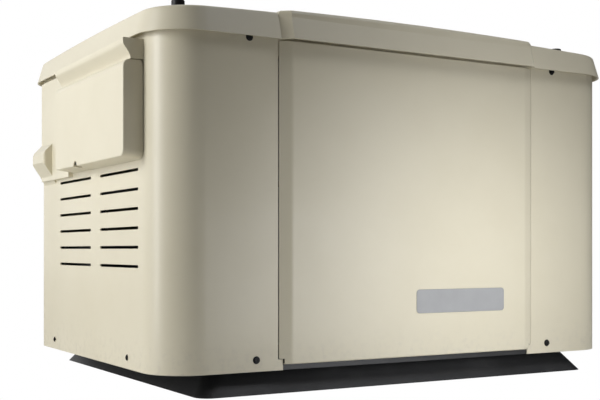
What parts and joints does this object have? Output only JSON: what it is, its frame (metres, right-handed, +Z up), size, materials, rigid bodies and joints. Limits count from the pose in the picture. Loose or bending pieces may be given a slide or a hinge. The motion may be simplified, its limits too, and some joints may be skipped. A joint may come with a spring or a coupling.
{
  "type": "home standby generator",
  "caption": "Home standby generator in a beige steel enclosure with a hinged lid, lift-off front panel and hinged side door, with its engine, alternator and controls inside.",
  "frame": {"origin": "on the ground under the middle of the enclosure, on the underside of the base pad", "axes": "+Z up, the front panel faces -Y, +X to the right of someone who faces the front"},
  "size_m": [0.959, 0.71, 0.613],
  "materials": {
    "painted_steel": "satin powder coat, warm light beige",
    "galvanised_steel": "galvanised sheet",
    "bright_steel": "ground steel",
    "black_screw": "black coated",
    "black_composite": "moulded composite, black",
    "foam": "open cell foam, charcoal",
    "cast_aluminium": "as cast",
    "black_steel": "black paint",
    "aluminised_steel": "aluminised, heat stained",
    "iron_laminate": "lacquered laminations",
    "black_plastic": "moulded, fine grain",
    "grey_plastic": "moulded grey",
    "green_plastic": "moulded green",
    "red_plastic": "moulded red",
    "yellow_plastic": "moulded yellow",
    "fuse_plastic": "moulded",
    "lens": "clear window over the display",
    "rubber": "moulded rubber"
  },
  "bodies": {
    "enclosure": {"air_box": "black_plastic", "air_box_cover": "black_plastic", "air_filter": "foam", "alternator_stator": "iron_laminate", "back_panel": "painted_steel", "base_pad": "black_composite", "base_pan": "black_steel", "battery": "black_plastic", "battery_cables": "rubber", "battery_holder": "galvanised_steel", "blower_housing": "black_steel", "breaker_body": "black_plastic", "control_panel": "galvanised_steel", "crankcase": "cast_aluminium", "cylinder": "cast_aluminium", "cylinder_head": "cast_aluminium", "display_lens": "lens", "divider_panel": "galvanised_steel", "end_bracket": "cast_aluminium", "engine_rails": "galvanised_steel", "exhaust_pipe": "aluminised_steel", "front_header": "painted_steel", "fuel_mixer": "cast_aluminium", "gas_hose": "rubber", "gas_regulator": "cast_aluminium", "hinge_leaves_body": "painted_steel", "hinge_pins": "bright_steel", "hood_rail": "painted_steel", "left_side_panel": "painted_steel", "lid_gasket": "foam", "muffler": "aluminised_steel", "muffler_shield": "galvanised_steel", "oil_filter": "black_steel", "panel_screws": "black_screw", "right_side_panel": "painted_steel", "rocker_cover": "black_steel", "shaft_bearings": "bright_steel", "side_cowl": "painted_steel", "spark_plug": "black_plastic", "starter_motor": "black_steel", "vibration_mounts": "rubber"},
    "lid": {"lid": "painted_steel", "lid_liner": "foam", "hinge_leaves_lid": "painted_steel"},
    "lid_lock_left": {"lid_lock_left": "black_screw"},
    "lid_lock_right": {"lid_lock_right": "black_screw"},
    "front_panel": {"front_panel": "painted_steel"},
    "side_door": {"hood_door": "painted_steel"},
    "shaft_line": {"crankshaft": "bright_steel", "flywheel": "iron_laminate", "alternator_rotor": "iron_laminate"},
    "starter_pinion": {"starter_pinion": "bright_steel"},
    "dipstick": {"dipstick": "yellow_plastic"},
    "air_box_knob": {"air_box_knob": "black_plastic"},
    "button_auto": {"button_auto": "green_plastic"},
    "button_off": {"button_off": "red_plastic"},
    "button_manual": {"button_manual": "grey_plastic"},
    "breaker_toggle": {"breaker_toggle": "grey_plastic"},
    "fuse": {"fuse": "fuse_plastic"},
    "throttle": {"throttle_valve": "bright_steel"}
  },
  "joints": [
    {"name": "lid_hinge", "type": "hinge", "parent": "enclosure", "child": "lid", "pos_m": [0, 0.349, 0.551], "axis": [-1, 0, 0], "range_deg": [0, 85]},
    {"name": "lid_lock_left_turn", "type": "hinge", "parent": "lid", "child": "lid_lock_left", "pos_m": [-0.396, -0.252, 0.59248], "axis": [0, 0, 1], "range_deg": [0, 90]},
    {"name": "lid_lock_right_turn", "type": "hinge", "parent": "lid", "child": "lid_lock_right", "pos_m": [0.396, -0.252, 0.59248], "axis": [0, 0, -1], "range_deg": [0, 90]},
    {"name": "front_panel_lift_off", "type": "slide", "parent": "enclosure", "child": "front_panel", "axis": [0, -1, 0], "range_m": [0, 0.12]},
    {"name": "side_door_hinge", "type": "hinge", "parent": "enclosure", "child": "side_door", "pos_m": [-0.478, -0.0895, 0.501], "axis": [0, 1, 0], "range_deg": [0, 75]},
    {"name": "shaft_spin", "type": "hinge", "parent": "enclosure", "child": "shaft_line", "pos_m": [0, -0.06, 0.235], "axis": [1, 0, 0], "continuous": true},
    {"name": "starter_pinion_spin", "type": "hinge", "parent": "enclosure", "child": "starter_pinion", "pos_m": [-0.136, -0.202, 0.235], "axis": [1, 0, 0], "continuous": true},
    {"name": "dipstick_pull", "type": "slide", "parent": "enclosure", "child": "dipstick", "axis": [0, 0, 1], "range_m": [0, 0.17]},
    {"name": "air_box_knob_turn", "type": "hinge", "parent": "enclosure", "child": "air_box_knob", "pos_m": [-0.033, -0.29, 0.468], "axis": [0, -1, 0], "continuous": true},
    {"name": "button_auto_press", "type": "slide", "parent": "enclosure", "child": "button_auto", "axis": [1, 0, 0], "range_m": [0, 0.003], "stiffness_N_per_m": 300},
    {"name": "button_off_press", "type": "slide", "parent": "enclosure", "child": "button_off", "axis": [1, 0, 0], "range_m": [0, 0.003], "stiffness_N_per_m": 300},
    {"name": "button_manual_press", "type": "slide", "parent": "enclosure", "child": "button_manual", "axis": [1, 0, 0], "range_m": [0, 0.003], "stiffness_N_per_m": 300},
    {"name": "breaker_toggle_flip", "type": "hinge", "parent": "enclosure", "child": "breaker_toggle", "pos_m": [-0.434, -0.1845, 0.4385], "axis": [0, 1, 0], "range_deg": [-20, 20]},
    {"name": "fuse_pull", "type": "slide", "parent": "enclosure", "child": "fuse", "axis": [-1, 0, 0], "range_m": [0, 0.03]},
    {"name": "throttle_turn", "type": "hinge", "parent": "enclosure", "child": "throttle", "pos_m": [-0.005, -0.146, 0.46], "axis": [1, 0, 0], "range_deg": [0, 80], "stiffness_Nm_per_rad": 0.02}
  ]
}
